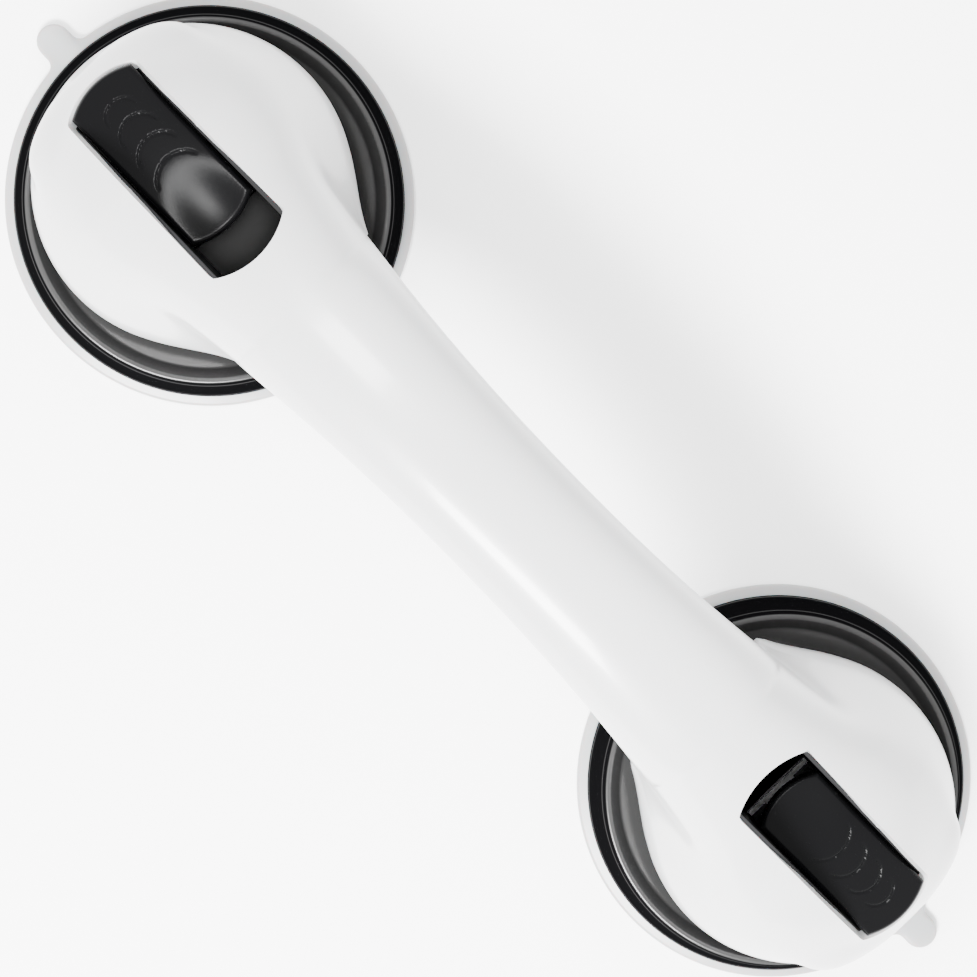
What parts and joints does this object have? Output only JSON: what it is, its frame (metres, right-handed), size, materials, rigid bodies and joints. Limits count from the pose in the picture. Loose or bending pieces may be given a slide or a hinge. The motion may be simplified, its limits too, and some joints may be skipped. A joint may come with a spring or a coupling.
{
  "type": "suction grab bar",
  "caption": "Arched plastic grab bar held to a smooth wall by a lever-locked suction cup under each end.",
  "frame": {"origin": "on the wall plane, midway between the two cups", "axes": "+X along the bar towards the right lobe, +Z away from the wall, +Y across the bar"},
  "size_m": [0.3154, 0.099, 0.082],
  "materials": {
    "white_shell": "glossy moulded white ABS",
    "black_lever": "satin to glossy moulded black ABS",
    "black_plate": "glossy black rim, satin dished top",
    "black_liner": "fine matt black moulding",
    "soft_cup": "translucent pale grey soft plastic, smooth",
    "stem_nylon": "natural nylon, satin",
    "wear_slip": "smooth hard acetal",
    "steel": "bright zinc plated steel"
  },
  "bodies": {
    "frame": {"handle_cover": "white_shell", "grip_underside": "white_shell", "grip_screws": "steel", "pressure_plate_left": "black_plate", "pressure_plate_right": "black_plate", "plate_screws_left": "steel", "plate_screws_right": "steel", "lever_well_left": "black_liner", "lever_well_right": "black_liner", "suction_cup_left": "soft_cup", "suction_cup_right": "soft_cup", "wear_plate_left": "wear_slip", "wear_plate_right": "wear_slip"},
    "stem_left": {"cup_stem_left": "stem_nylon", "lever_pin_left": "steel"},
    "stem_right": {"cup_stem_right": "stem_nylon", "lever_pin_right": "steel"},
    "lever_left": {"lever_left": "black_lever"},
    "lever_right": {"lever_right": "black_lever"}
  },
  "joints": [
    {"name": "stem_slide_left", "type": "slide", "parent": "frame", "child": "stem_left", "axis": [0, 0, 1], "range_m": [-0.0035, 0], "deforming": ["suction_cup_left"]},
    {"name": "stem_slide_right", "type": "slide", "parent": "frame", "child": "stem_right", "axis": [0, 0, 1], "range_m": [-0.0035, 0], "deforming": ["suction_cup_right"]},
    {"name": "lever_hinge_left", "type": "hinge", "parent": "stem_left", "child": "lever_left", "pos_m": [-0.1, 0, 0.0395], "axis": [0, 1, 0], "range_deg": [0, 90]},
    {"name": "lever_hinge_right", "type": "hinge", "parent": "stem_right", "child": "lever_right", "pos_m": [0.1, 0, 0.0395], "axis": [0, -1, 0], "range_deg": [0, 90]}
  ],
  "couplings": [
    {"joint": "lever_hinge_left", "follows": "stem_slide_left", "rad_per_m": -448.79},
    {"joint": "lever_hinge_right", "follows": "stem_slide_right", "rad_per_m": -448.79}
  ]
}
